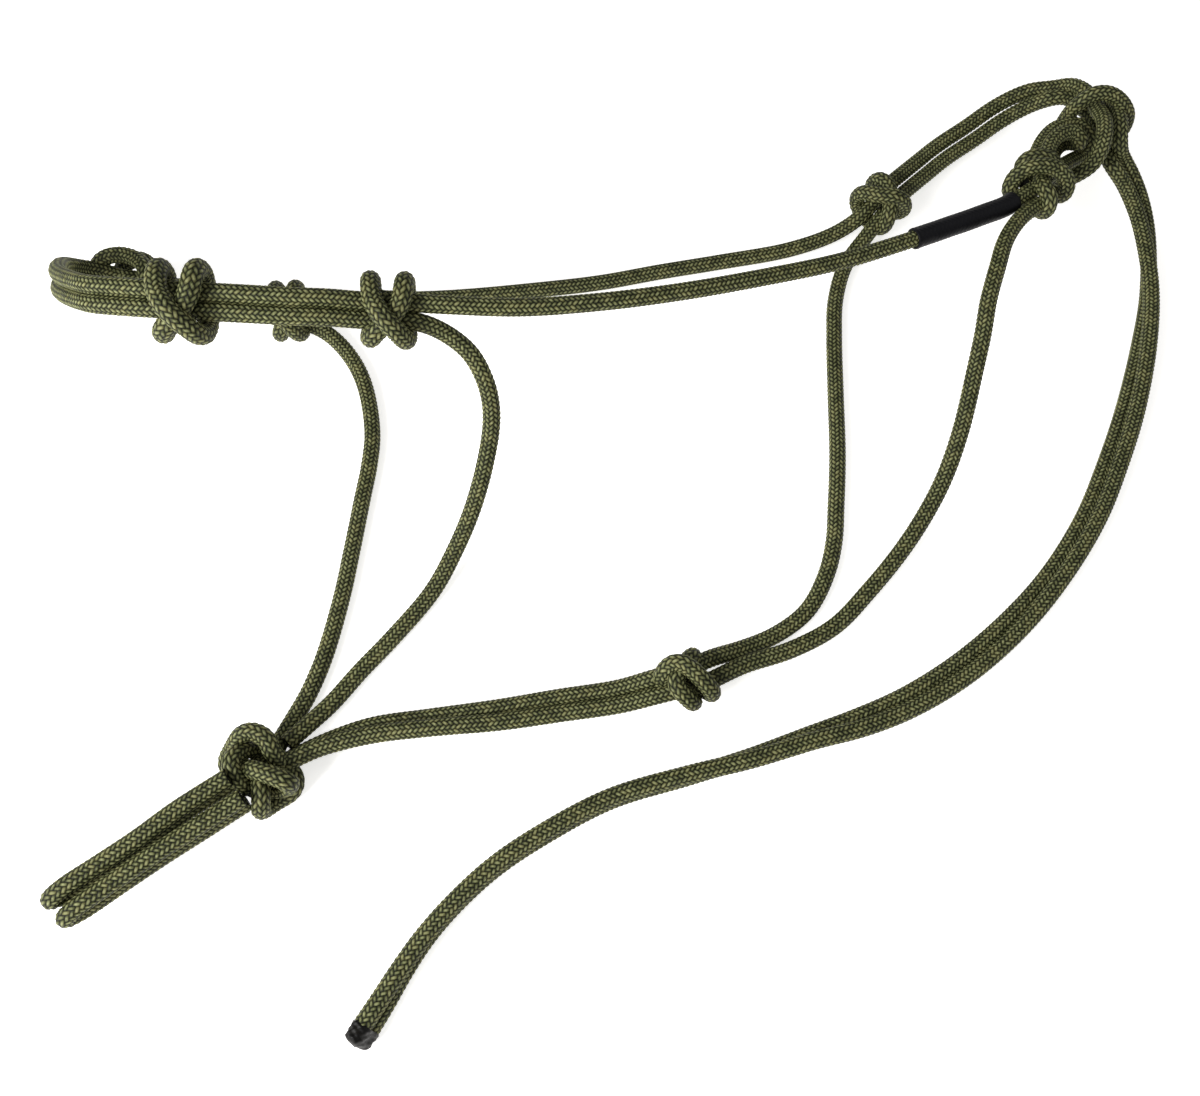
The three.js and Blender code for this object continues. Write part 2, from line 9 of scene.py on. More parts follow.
import bpy
import numpy as np
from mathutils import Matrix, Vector


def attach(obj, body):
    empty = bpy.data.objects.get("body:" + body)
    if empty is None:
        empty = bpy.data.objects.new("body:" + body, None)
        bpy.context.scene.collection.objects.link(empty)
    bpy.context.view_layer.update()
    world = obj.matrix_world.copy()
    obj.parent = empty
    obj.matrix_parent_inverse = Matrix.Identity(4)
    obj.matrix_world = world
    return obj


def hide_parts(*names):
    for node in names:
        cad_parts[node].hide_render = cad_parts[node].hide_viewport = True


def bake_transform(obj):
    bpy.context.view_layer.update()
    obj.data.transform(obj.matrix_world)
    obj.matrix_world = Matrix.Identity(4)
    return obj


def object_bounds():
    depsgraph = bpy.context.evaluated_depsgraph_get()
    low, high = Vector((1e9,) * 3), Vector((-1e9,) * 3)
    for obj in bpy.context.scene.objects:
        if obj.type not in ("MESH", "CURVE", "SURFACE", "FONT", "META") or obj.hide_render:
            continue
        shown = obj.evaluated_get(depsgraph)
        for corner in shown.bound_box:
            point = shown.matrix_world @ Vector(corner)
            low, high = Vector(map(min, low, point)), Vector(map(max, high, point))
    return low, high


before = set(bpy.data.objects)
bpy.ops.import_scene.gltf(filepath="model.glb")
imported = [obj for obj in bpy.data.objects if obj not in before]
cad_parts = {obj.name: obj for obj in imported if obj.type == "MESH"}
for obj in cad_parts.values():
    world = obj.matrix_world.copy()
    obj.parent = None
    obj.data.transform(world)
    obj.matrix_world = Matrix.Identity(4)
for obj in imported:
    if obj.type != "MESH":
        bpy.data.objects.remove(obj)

CAD_LO, CAD_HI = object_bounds()

# ---- Sizes, in millimetres -----------------------------------------------------------------------

LAYOUT_SHIFT = np.array([3.0, 4.0, 0.11])
ROPE_RADIUS = 3.175
KNOT_RADIUS = 3.2
# Knots whose rope is fuller than that.
FULL_KNOTS = {"nose_knot_near": 3.5, "cheek_knot_near": 3.35}
PAIR_HALF = 3.43
PRESSED_HALF = 3.12  # the same where the strands press against each other
END_REACH = 2.6  # how far a strand runs on past its CAD end, inside a knot
DEEP_REACH = 9.0  # the same for the strands that meet in the chin knot
SLEEVE_RADIUS = 4.02
SLEEVE_BORE = 3.3
SLEEVE_LIP = 0.5
SLEEVE_STEP = 0.4  # between rings of the sleeve's mesh
MELTED_LENGTH = 6.8
MELTED_HALF_WIDTH = 6.3
MELTED_HALF_DEPTH = 3.75
UP = np.array([0.0, -0.38, 0.92])
RING_AXIS = np.array([0.0, 0.79, 0.61])
RING_FRONT = np.array([0.0, -0.61, 0.79])

# ---- Braid ---------------------------------------------------------------------------------------

BRAID_COLUMNS = 12  # columns of slanting picks round the rope
BRAID_PITCH = 1.87  # mm from one pick to the next in its column
BULGE_POWER = 0.6  # how flat a pick is across its width
ARCH_POWER = 0.8  # how flat it is along its length
PICK_END = 0.12  # how high a pick still stands where it dives under the next
PICK_RELIEF = 0.42  # mm from the groove between picks to a pick's crest
SIDES = 48
RING_STEP = 0.45  # mm between rings of the mesh

# ---- Routes, as in the CAD -----------------------------------------------------------------------
# A pair adds the angle from its right-hand side to the line from the second strand to the first.

NOSE_FRONT = [
    [-152.5, 32, 88, 90], [-163, 32.5, 88, 90], [-173.5, 34, 87, 90], [-184.5, 37, 84, 90],
    [-196.5, 45.5, 75, 90], [-209.5, 59, 60, 90], [-219, 73.5, 44, 90], [-225, 85.5, 29, 90],
    [-223, 91, 20, 90], [-216, 91.5, 17, 90], [-209, 89.5, 16, 90],
]
NOSE_NEAR = [
    [-152.5, 31.5, 88, 90], [-141, 31, 88, 90], [-130, 31, 87, 90], [-117, 31.5, 85, 90],
    [-104.5, 33, 82, 90], [-93.5, 34, 79, 90], [-86, 35, 78, 90],
]
NOSE_FAR = [
    [-209, 89.5, 16, 90], [-197.5, 88, 15.5, 90], [-185, 85.5, 15, 90], [-170.5, 83, 14, 90],
    [-156.5, 81, 13.5, 90], [-142.5, 78.5, 13.5, 90],
]
CHEEK_NEAR = [
    [-86, 37.5, 80], [-77, 37, 79], [-65, 37.5, 77], [-41.5, 40, 72], [-14, 45, 68], [15, 53.5, 62],
    [45, 64.5, 55], [76.5, 77, 48], [107.5, 92, 42], [129.5, 102.5, 39.5], [147, 111, 38],
    [158, 119, 37],
]
CHEEK_FAR = [
    [-142, 81, 15.5], [-133, 84, 11], [-114, 89, 5.5], [-77, 92, 3.2], [-39, 96, 3.2],
    [-14, 99.5, 3.2], [11.5, 105, 3.2], [37, 110, 3.2], [67, 116.5, 3.2], [86, 122.5, 6],
    [96, 127, 11], [102, 132.5, 14],
]
CHIN_NEAR = [
    [-86, 32, 76], [-76, 32, 75], [-67.5, 31.5, 69], [-59.5, 27.5, 63], [-55, 21.5, 57],
    [-53, 16, 50], [-53, 10, 43], [-56, -1, 32], [-61.5, -14, 20], [-68.5, -26, 10],
    [-76.5, -39.5, 4.5], [-90.5, -57.5, 3.2], [-101, -70, 3.5], [-110.5, -83, 5],
    [-118, -91.5, 7],
]
CHIN_FAR = [
    [-143, 76, 11.5], [-135.5, 76, 9], [-127, 74, 5], [-118.5, 66.5, 3.2], [-110, 52, 3.2],
    [-104.5, 29, 3.2], [-104.5, 14, 3.2], [-106, 0, 3.2], [-108.5, -24, 3.2], [-110.5, -41, 3.2],
    [-115, -65, 3.2], [-119.5, -79, 3.2], [-122.5, -86, 3.8], [-125, -92.5, 5.5],
]
JAW = [
    [-120.5, -102.5, 7, 88], [-112.5, -98.5, 6.8, 85], [-95.5, -93, 6.5, 68],
    [-74.5, -90, 6.2, 62], [-49.5, -87, 5.7, 45], [-28.5, -83.5, 5.2, 34], [-7, -80.5, 6.4, 30],
    [5.5, -78, 10, 15], [16.5, -76, 13, 0],
]
THROAT_NEAR = [
    [17.8, -79.8, 11.8], [27, -75.2, 11], [38, -69.5, 9], [55.5, -63, 6], [72.5, -53.5, 4.5],
    [86, -40, 5], [99, -25, 7], [109, -11, 9], [117, 3, 13], [123.5, 20, 20], [129, 41.5, 29],
    [132, 54, 34], [134.5, 66.5, 38], [139, 80, 40], [144, 93, 40], [152.5, 105.5, 38],
    [160, 112.5, 36],
]
THROAT_FAR = [
    [17.2, -72.6, 14.6], [26, -67.6, 11], [37, -63, 6.5], [50.5, -56.5, 3.2], [63, -47, 3.2],
    [71.5, -32, 3.2], [75.5, -18, 3.2], [77, -6, 3.2], [79.5, 17.5, 3.2], [81, 46, 3.2],
    [82.5, 72.5, 3.2], [84.5, 91, 3.2], [90, 108, 4.5], [98.5, 119, 8], [104.5, 126, 11.5],
]
CROWN = [
    [106, 134, 13.5, 0], [114.5, 143, 12, 0], [125, 154, 9.5, 0], [136, 164.5, 8.5, 0],
    [149, 173.5, 10, 0], [162, 181.5, 14, 0], [173.5, 184.5, 19.5, 15], [182, 183, 24, 35],
]
TIE_LOOP_OUTER = [
    [158.5, 128, 34], [163, 134.5, 33], [166.5, 143, 30.5], [170.5, 151, 30], [175.5, 157, 29.5],
    [180, 160, 29], [185, 161.5, 28.5], [189.5, 160.5, 28], [192, 157.5, 27], [193, 154.5, 25],
    [192.5, 152.5, 22.5], [190, 151.5, 20.5], [186.5, 149, 21.5], [181.5, 144.5, 24],
    [176.5, 139.5, 27], [170, 133, 29],
]
TIE_LOOP_INNER = [
    [165, 128, 34], [166.5, 133.5, 34.5], [168.5, 139, 34.5], [171.5, 146, 34.5],
    [174.5, 149.5, 34.5], [177.5, 151.5, 34.3], [181.5, 153, 33.5], [184.5, 151.5, 32.5],
    [186.5, 150.5, 30.5], [186.5, 151.5, 28], [185, 154.5, 25.5], [182.5, 156, 23.8],
    [180, 154.5, 23], [176, 148.5, 24.5], [170.5, 140, 28], [166, 134, 29],
]
CROWN_HITCH_A = [
    [182, 179.8, 24.8], [186, 179.8, 25], [189.5, 178.7, 24.5], [192, 176.5, 24],
    [194.5, 173.5, 23.7], [197.5, 169, 23], [199.5, 163.5, 22.5], [200, 157, 22.5],
    [200, 150, 23], [200.8, 144, 23.7],
]
CROWN_HITCH_B = [
    [182, 186.3, 23.3], [188.5, 184.3, 27], [192, 178.8, 30], [194.5, 172, 31.5],
    [195, 165, 32.5], [195, 159.5, 35], [194, 153, 37], [193, 147.5, 37], [191.5, 143, 36],
    [190, 139.5, 34], [188, 137, 31.5], [185, 136, 29], [182.5, 136, 26], [179.5, 138, 21.5],
    [179, 145, 17], [180.5, 154, 15], [182.5, 163, 15.5], [184.5, 168, 20], [185, 168, 26],
    [185.5, 167.5, 31], [187.3, 167.2, 35.5], [190, 168, 38], [193.5, 168.3, 39.2],
    [198.5, 168, 38.7], [203, 166.5, 36.5], [206.5, 165, 33], [208.5, 164.5, 29], [209, 164, 25],
    [207.5, 162, 22], [205.5, 160, 20],
]
HITCH_TURN = [
    [201, 177.5, 25.5], [202, 173, 28.5], [202.5, 166.5, 31.5], [202.5, 160.5, 33.5],
    [202, 155, 33.7], [202, 151, 31.5], [203.3, 149.3, 28], [205.3, 149, 24.3],
]
TAIL = [
    [203, 146.5, 24, 12], [209, 141.5, 18.5, 20], [214, 134.5, 13, 30], [216.5, 123, 9.5, 42],
    [215, 95, 6.6, 72],
    [207.5, 66.5, 6.7, 98], [196.5, 36, 6.4, 116], [185.5, 12, 6.2, 121], [173.5, -10.5, 6.2, 121],
    [156.5, -34, 6.1, 121], [138.5, -53, 5.7, 135], [117.5, -70, 5.4, 141], [96.5, -82.5, 5.8, 132],
    [78.5, -90, 6.2, 120], [61, -95.5, 6.6, 100], [38.5, -103, 6.6, 86], [16.5, -109, 6.4, 72],
    [-10.5, -117, 6.4, 70], [-33.5, -129, 6.4, 70], [-50, -140, 6.5, 73], [-63, -152, 6.6, 76],
    [-72, -162.5, 6.6, 76], [-79, -173, 6.5, 72], [-84.5, -182.5, 6.6, 65], [-89, -190, 7.2, 60],
]
LEAD_LOOP_A = [
    [-141, -114, 21.5], [-154.5, -123.5, 22], [-166, -133, 22.5], [-177.5, -141.5, 23],
    [-188, -149, 23], [-192.5, -152.5, 20], [-188, -149, 16.6], [-177.5, -141.5, 16.3],
    [-166, -133, 15.8], [-154.5, -123.5, 15.3], [-141, -114, 14.8],
]
LEAD_LOOP_B = [
    [-136, -120.5, 19.5], [-148, -129, 20], [-159.5, -137, 20.5], [-173, -147, 21],
    [-183, -154.5, 21], [-187.5, -158, 18], [-183, -154.5, 14.6], [-173, -147, 14.3],
    [-159.5, -137, 13.8], [-148, -129, 13.3], [-136, -120.5, 12.8],
]
SLEEVE_ROUTE = [
    [107.5, 92, 42], [118.5, 97.3, 40.7], [129.5, 102.5, 39.5], [138.5, 106.8, 38.7],
    [147, 111, 38], [150.5, 113.5, 37.7],
]
OVERHAND_TURNS = [
    [-6.3, 0, -7.3], [-6.3, 4.5, -7], [-6.3, 9, -4.4], [-6.2, 10.5, 0.5], [-5.8, 8, 5.6],
    [-4.5, 3, 8.8], [-0.5, -2.5, 11.4], [4, -7.5, 9], [6.6, -10.8, 2.8], [7, -9, -4],
    [6.6, -3, -7.2], [6.4, 3, -7.2], [6.3, 9, -4.4], [6.2, 10.6, 0.8], [6, 8, 5.6],
    [4.8, 2.5, 7.2], [0.8, -3, 6.4], [-4.2, -8.2, 5], [-6.8, -10.8, -0.8], [-6.6, -8.6, -5.4],
    [-6.4, -4, -7.2],
]
THROAT_TURNS = [
    [-6.5, -2.2, -7.4], [-10.2, 0, -4.2], [-11.3, 3, 0.5], [-9.5, 7, 5], [-5, 9.7, 7.5],
    [-0.4, 8.2, 9.3], [3.4, 3.4, 9.8], [6.7, -1.9, 9.2], [9, -6.5, 5.5], [9.3, -9, -1],
    [6.5, -6, -6.5], [3, 1, -7.6], [4, 7.5, -5], [4.8, 10.2, 0], [1.5, 8.8, 3], [-3.5, 5.2, 5.6],
    [-6, 1.5, 7.6], [-6, -1, 7.8], [-4, -5, 7.4], [-1, -9.5, 4.5], [0.7, -11.2, 0], [0, -9, -5],
    [-2.6, -4, -7.4],
]
NOSE_KNOT_FAR_TURNS = [
    [-219.5, 96, 17], [-218, 97, 20], [-214.5, 98.5, 22], [-209.5, 99, 23], [-204.5, 98, 23.5],
    [-199.5, 95, 24], [-196, 90, 25], [-196.5, 85.5, 23], [-200.5, 84.5, 17], [-207, 88, 10],
    [-214, 97.5, 9], [-211, 101, 13], [-204.5, 101, 17], [-200.5, 100, 18], [-198, 98, 15],
    [-201, 97, 9], [-208, 96, 5], [-215.5, 94.5, 4.5], [-220.5, 94.5, 8], [-221.5, 95, 13],
]
POLL_KNOT_NEAR_TURNS = [
    [151.5, 122.5, 34], [152, 124.5, 38], [155, 125.5, 42], [160.5, 126, 44],
    [166.5, 125.5, 43.5], [171.5, 123.5, 41], [173.5, 121.5, 37], [173.5, 121.5, 32],
    [171.5, 125.5, 28], [166.5, 128, 29], [162, 132.5, 29], [158.5, 134.5, 32], [159.5, 136, 36],
    [163, 136, 38], [167, 135, 38], [171, 133.5, 36], [169.5, 130, 35.5], [165, 127.5, 36],
    [162.5, 122.5, 38.5], [162.5, 117, 41], [164, 113, 40.5], [164.5, 111.5, 36.5],
    [164.5, 114, 31], [163.5, 121, 27], [160, 124, 27], [155, 123, 29.5],
]
CHIN_KNOT_TURNS = [
    [-139.5, -106, 7.5], [-136.5, -107.5, 12], [-132.5, -109, 17.5], [-128, -110.5, 20],
    [-122, -112.5, 20], [-119.5, -113.5, 18.5], [-120, -113.5, 13], [-123, -114, 9.5],
    [-128, -114, 8], [-133, -114, 9], [-135.8, -113.3, 14], [-138, -111, 18.5],
    [-139, -107.5, 20], [-138.3, -104, 18.5], [-136, -101.5, 14], [-133.5, -100.5, 9],
    [-132.5, -105, 8.5], [-131.5, -109.5, 11], [-129, -115.5, 16], [-129, -120, 14],
    [-130, -121.5, 9.5], [-129.5, -120, 5], [-126.5, -117.5, 4.5], [-121, -114, 5],
    [-120, -110, 6.5], [-123, -106, 9], [-125.5, -104, 12.5], [-127, -102, 16],
    [-128.5, -98.5, 18], [-134, -96, 18.5], [-137.5, -97, 17], [-140, -98.5, 13.5],
    [-142.5, -100.5, 9.5], [-144.5, -103, 7], [-144.5, -106.5, 5], [-142.5, -106.5, 5],
]

# A knot shaped in its own frame: its turns, their scale, its centre, the direction of the pair
# through it, and the way it faces. The others are set out in place.
KNOTS = {
    "nose_knot_near": (OVERHAND_TURNS, (1, 1, 1), [-152.5, 31.5, 88], [1, 0, -0.03], RING_FRONT),
    "cheek_knot_near": (OVERHAND_TURNS, (0.92, 0.92, 0.95), [-86, 35, 78], [1, 0.03, -0.1], RING_FRONT),
    "cheek_knot_far": (
        OVERHAND_TURNS, (0.63, 0.87, 0.9), [-140.5, 78.5, 13.5], [1, 0.05, 0], RING_FRONT
    ),
    "throat_knot": (THROAT_TURNS, (0.78, 0.76, 0.88), [17, -76, 13], [0.97, 0.2, 0.05], UP),
    "poll_knot_far": (OVERHAND_TURNS, (0.8, 0.8, 0.9), [104.5, 132.5, 13.5], [0.72, 0.69, 0], UP),
}
KNOTS_IN_PLACE = {
    "nose_knot_far": NOSE_KNOT_FAR_TURNS,
    "poll_knot_near": POLL_KNOT_NEAR_TURNS,
    "chin_knot": CHIN_KNOT_TURNS,
}


# ---- Curves --------------------------------------------------------------------------------------


def unit(v):
    return v / np.linalg.norm(v, axis=-1, keepdims=True)


def smooth_curve(points, cyclic=False, per_span=24):
    """A centripetal Catmull-Rom curve through the points, as a dense list of points."""
    p = np.array(points, float)[:, :3]
    if cyclic:
        ext = np.vstack([p[-1], p, p[0], p[1]])
    else:
        ext = np.vstack([2 * p[0] - p[1], p, 2 * p[-1] - p[-2]])
    out = []
    for i in range(len(ext) - 3):
        a, b, c, d = ext[i : i + 4]
        t0 = 0.0
        t1 = t0 + math.sqrt(np.linalg.norm(b - a))
        t2 = t1 + math.sqrt(np.linalg.norm(c - b))
        t3 = t2 + math.sqrt(np.linalg.norm(d - c))
        t = np.linspace(t1, t2, per_span, endpoint=False)[:, None]
        ab = (t1 - t) / (t1 - t0) * a + (t - t0) / (t1 - t0) * b
        bc = (t2 - t) / (t2 - t1) * b + (t - t1) / (t2 - t1) * c
        cd = (t3 - t) / (t3 - t2) * c + (t - t2) / (t3 - t2) * d
        abc = (t2 - t) / (t2 - t0) * ab + (t - t0) / (t2 - t0) * bc
        bcd = (t3 - t) / (t3 - t1) * bc + (t - t1) / (t3 - t1) * cd
        out.append((t2 - t) / (t2 - t1) * abc + (t - t1) / (t2 - t1) * bcd)
    line = np.vstack(out)
    return line if cyclic else np.vstack([line, p[-1]])


def evenly(line, step, cyclic=False):
    """The line with its points an even distance apart."""
    if cyclic:
        line = np.vstack([line, line[0]])
    run = np.concatenate([[0], np.cumsum(np.linalg.norm(np.diff(line, axis=0), axis=1))])
    count = max(8, int(round(run[-1] / step)))
    at = np.linspace(0, run[-1], count + 1)
    even = np.stack([np.interp(at, run, line[:, k]) for k in range(3)], axis=1)
    return even[:-1] if cyclic else even


def softened(line, reach, cyclic=False):
    """The line with kinks shorter than reach, in points, rounded off. Its ends stay."""
    if reach < 1:
        return line
    kernel = np.exp(-0.5 * (np.arange(-3 * reach, 3 * reach + 1) / reach) ** 2)
    kernel /= kernel.sum()
    pad = 3 * reach
    if cyclic:
        ext = np.vstack([line[-pad:], line, line[:pad]])
    else:
        before = 2 * line[0] - line[pad:0:-1]
        after = 2 * line[-1] - line[-2 : -pad - 2 : -1]
        ext = np.vstack([before, line, after])
    return np.stack([np.convolve(ext[:, k], kernel, "valid") for k in range(3)], axis=1)


def strands_of_pair(route, upward, half=PAIR_HALF):
    """The two strands of a pair, as lists of points."""
    pts = np.array(route, float)
    p = pts[:, :3]
    tangent = np.gradient(p, axis=0)
    tangent[0] = p[1] - p[0]
    tangent[-1] = p[-1] - p[-2]
    tangent = unit(tangent)
    right = unit(np.cross(tangent, upward))
    raised = np.cross(right, tangent)
    angle = np.radians(pts[:, 3])[:, None]
    out = right * np.cos(angle) + raised * np.sin(angle)
    return p + out * half, p - out * half


def strands_of_ring(route):
    p = np.array(route, float)[:, :3]
    return p + RING_AXIS * PRESSED_HALF, p - RING_AXIS * PRESSED_HALF


def extended(line, before, after):
    """The line run straight on at its two ends."""
    first = line[0] - unit(line[4] - line[0]) * before
    last = line[-1] + unit(line[-1] - line[-5]) * after
    return np.vstack([first, line, last])


def placed(turns, scale, at, along, front):
    x = unit(np.array(along, float))
    z = front - x * np.dot(front, x)
    z = unit(z)
    y = np.cross(z, x)
    t = np.array(turns, float) * scale
    return np.array(at, float) + t[:, :1] * x + t[:, 1:2] * y + t[:, 2:3] * z


# ---- Meshes --------------------------------------------------------------------------------------


def frames_along(line, cyclic, start=None):
    """Tangents and a pair of cross directions that don't twist along the line."""
    if cyclic:
        tangent = unit(np.roll(line, -1, 0) - np.roll(line, 1, 0))
    else:
        tangent = unit(np.gradient(line, axis=0))
    if start is None:
        start = np.array([0.0, 0.0, -1.0])
        if abs(tangent[0] @ start) > 0.9:
            start = np.array([0.0, -1.0, 0.0])
    across = np.zeros_like(line)
    across[0] = unit(start - tangent[0] * (tangent[0] @ start))
    for i in range(1, len(line)):
        v = across[i - 1] - tangent[i] * (across[i - 1] @ tangent[i])
        across[i] = v / np.linalg.norm(v)
    if cyclic:
        last = across[-1] - tangent[0] * (across[-1] @ tangent[0])
        last = unit(last)
        turn = math.atan2(np.cross(last, across[0]) @ tangent[0], last @ across[0])
        share = np.arange(len(line)) / len(line) * turn
        other = np.cross(tangent, across)
        across = across * np.cos(share)[:, None] + other * np.sin(share)[:, None]
    return tangent, across, np.cross(tangent, across)


def braid_height(u, v):
    """0 in a groove, 1 on a pick's crest. u counts carriers round the rope, v counts picks along it."""
    a, b = u + v, u - v
    ia, ib = np.floor(a), np.floor(b)
    over = np.mod(ia + ib, 4) < 2
    across = np.where(over, a - ia, b - ib)
    along = np.where(over, np.mod(b + ia, 4) / 2, (np.mod(a + ib, 4) - 2) / 2)
    along = np.clip(along, 0, 1)
    bulge = np.clip(4 * across * (1 - across), 0, 1) ** BULGE_POWER
    arch = np.clip(4 * along * (1 - along), 0, 1) ** ARCH_POWER
    return bulge * (PICK_END + (1 - PICK_END) * arch)


def corner_uvs(u0, u1, v0, v1):
    """The four corners' UVs for each quad."""
    corners = [(u0, v0), (u1, v0), (u1, v1), (u0, v1)]
    return np.stack([np.stack(corner, 1) for corner in corners], axis=1)


def new_mesh(name, verts, faces_quads, uvs, extra_tris=None, tri_uvs=None):
    """A mesh object from arrays: quads with a UV for each corner, and triangles for the end caps."""
    mesh = bpy.data.meshes.new(name)
    quads = np.asarray(faces_quads, np.int32).reshape(-1, 4)
    tris = np.zeros((0, 3), np.int32) if extra_tris is None else np.asarray(extra_tris, np.int32)
    loops = np.concatenate([quads.ravel(), tris.ravel()])
    totals = np.concatenate([np.full(len(quads), 4), np.full(len(tris), 3)]).astype(np.int32)
    starts = np.concatenate([[0], np.cumsum(totals)[:-1]]).astype(np.int32)
    mesh.vertices.add(len(verts))
    mesh.vertices.foreach_set("co", (np.asarray(verts, float) / 1000).astype(np.float32).ravel())
    mesh.loops.add(len(loops))
    mesh.loops.foreach_set("vertex_index", loops)
    mesh.polygons.add(len(totals))
    mesh.polygons.foreach_set("loop_start", starts)
    mesh.polygons.foreach_set("loop_total", totals)
    layer = mesh.uv_layers.new(name="braid")
    all_uv = np.asarray(uvs, np.float32).reshape(-1, 2)
    if tri_uvs is not None:
        all_uv = np.vstack([all_uv, np.asarray(tri_uvs, np.float32).reshape(-1, 2)])
    layer.data.foreach_set("uv", all_uv.ravel())
    mesh.polygons.foreach_set("use_smooth", np.ones(len(totals), bool))
    mesh.update()
    mesh.validate()
    obj = bpy.data.objects.new(name, mesh)
    bpy.context.scene.collection.objects.link(obj)
    return obj


def rope_mesh(name, line, radius, cyclic=False, carry=None):
    """A braided rope along the line.

    carry is a dict that takes the braid on from the piece before: its last cross direction and run.
    """
    line = evenly(line, RING_STEP, cyclic)
    n = len(line)
    carry = {} if carry is None else carry
    tangent, e1, e2 = frames_along(line, cyclic, carry.get("across"))
    seg = np.linalg.norm(np.diff(line, axis=0), axis=1)
    run = carry.get("run", 0.0) + np.concatenate([[0], np.cumsum(seg)])
    carry["across"], carry["run"] = e1[-1], run[-1]
    pitch = BRAID_PITCH
    if cyclic:
        total = run[-1] + np.linalg.norm(line[0] - line[-1])
        pitch = total / max(2, round(total / BRAID_PITCH / 2) * 2)
    v = run / pitch
    theta = np.arange(SIDES) / SIDES
    u = theta * BRAID_COLUMNS
    height = braid_height(u[None, :], v[:, None])
    r = radius - PICK_RELIEF * 0.7 + PICK_RELIEF * height
    angle = theta * 2 * math.pi
    ring = (
        e1[:, None, :] * np.cos(angle)[None, :, None] + e2[:, None, :] * np.sin(angle)[None, :, None]
    )
    verts = (line[:, None, :] + ring * r[:, :, None]).reshape(-1, 3)
    rows = n if cyclic else n - 1
    i = np.repeat(np.arange(rows), SIDES)
    j = np.tile(np.arange(SIDES), rows)
    i2, j2 = (i + 1) % n, (j + 1) % SIDES
    quads = np.stack([i * SIDES + j, i * SIDES + j2, i2 * SIDES + j2, i2 * SIDES + j], axis=1)
    vi = v[i]
    v_next = v[np.minimum(i + 1, n - 1)]
    if cyclic:
        step = np.linalg.norm(line[0] - line[-1]) / pitch
        v_next = np.where(i + 1 < n, v[np.minimum(i + 1, n - 1)], v[-1] + step)
    u0, u1 = u[j], (j + 1) / SIDES * BRAID_COLUMNS
    uvs = corner_uvs(u0, u1, vi, v_next)
    tris, tri_uv = None, None
    if not cyclic:
        first, last = len(verts), len(verts) + 1
        verts = np.vstack([verts, line[0], line[-1]])
        k = np.arange(SIDES)
        k2 = (k + 1) % SIDES
        base = (n - 1) * SIDES
        tris = np.vstack(
            [
                np.stack([np.full(SIDES, first), k2, k], 1),
                np.stack([np.full(SIDES, last), base + k, base + k2], 1),
            ]
        )
        tri_uv = np.full((len(tris), 3, 2), 0.5)
    return new_mesh(name, verts, quads, uvs, tris, tri_uv)


# ---- Materials -----------------------------------------------------------------------------------


class Nodes:
    """Short names for making shader nodes."""

    def __init__(self, name):
        self.material = bpy.data.materials.new(name)
        self.material.use_nodes = True
        self.tree = self.material.node_tree
        self.tree.nodes.clear()
        self.out = self.tree.nodes.new("ShaderNodeOutputMaterial")

    def new(self, kind, **settings):
        node = self.tree.nodes.new(kind)
        for key, value in settings.items():
            setattr(node, key, value)
        return node

    def feed(self, socket, value):
        if isinstance(value, bpy.types.NodeSocket):
            self.tree.links.new(value, socket)
        else:
            socket.default_value = value

    def math(self, operation, a, b=None, c=None, clamp=False):
        node = self.new("ShaderNodeMath", operation=operation, use_clamp=clamp)
        for k, value in enumerate((a, b, c)):
            if value is not None:
                self.feed(node.inputs[k], value)
        return node.outputs[0]

    def mix(self, factor, a, b):
        node = self.new("ShaderNodeMix", data_type="RGBA")
        self.feed(node.inputs[0], factor)
        self.feed(node.inputs[6], a)
        self.feed(node.inputs[7], b)
        return node.outputs[2]

    def blend(self, factor, a, b):
        node = self.new("ShaderNodeMix", data_type="FLOAT")
        self.feed(node.inputs[0], factor)
        self.feed(node.inputs[2], a)
        self.feed(node.inputs[3], b)
        return node.outputs[0]

    def vector(self, x, y, z):
        node = self.new("ShaderNodeCombineXYZ")
        for k, value in enumerate((x, y, z)):
            self.feed(node.inputs[k], value)
        return node.outputs[0]

    def ramp(self, factor, stops):
        node = self.new("ShaderNodeValToRGB")
        self.feed(node.inputs[0], factor)
        while len(node.color_ramp.elements) < len(stops):
            node.color_ramp.elements.new(0.5)
        for element, (place, colour) in zip(node.color_ramp.elements, stops):
            element.position = place
            element.color = colour
        return node.outputs[0]


def linear(r, g, b):
    """A display colour, 0 to 255, as linear light."""
    out = []
    for c in (r / 255, g / 255, b / 255):
        out.append(c / 12.92 if c <= 0.04045 else ((c + 0.055) / 1.055) ** 2.4)
    return (*out, 1.0)


def hump(m, x, power):
    """A rise from 0 to 1 and back as x goes from 0 to 1, flattened at the top by the power."""
    rise = m.math("MULTIPLY", m.math("MULTIPLY", x, 4.0), m.math("SUBTRACT", 1.0, x), clamp=True)
    return m.math("POWER", rise, power)


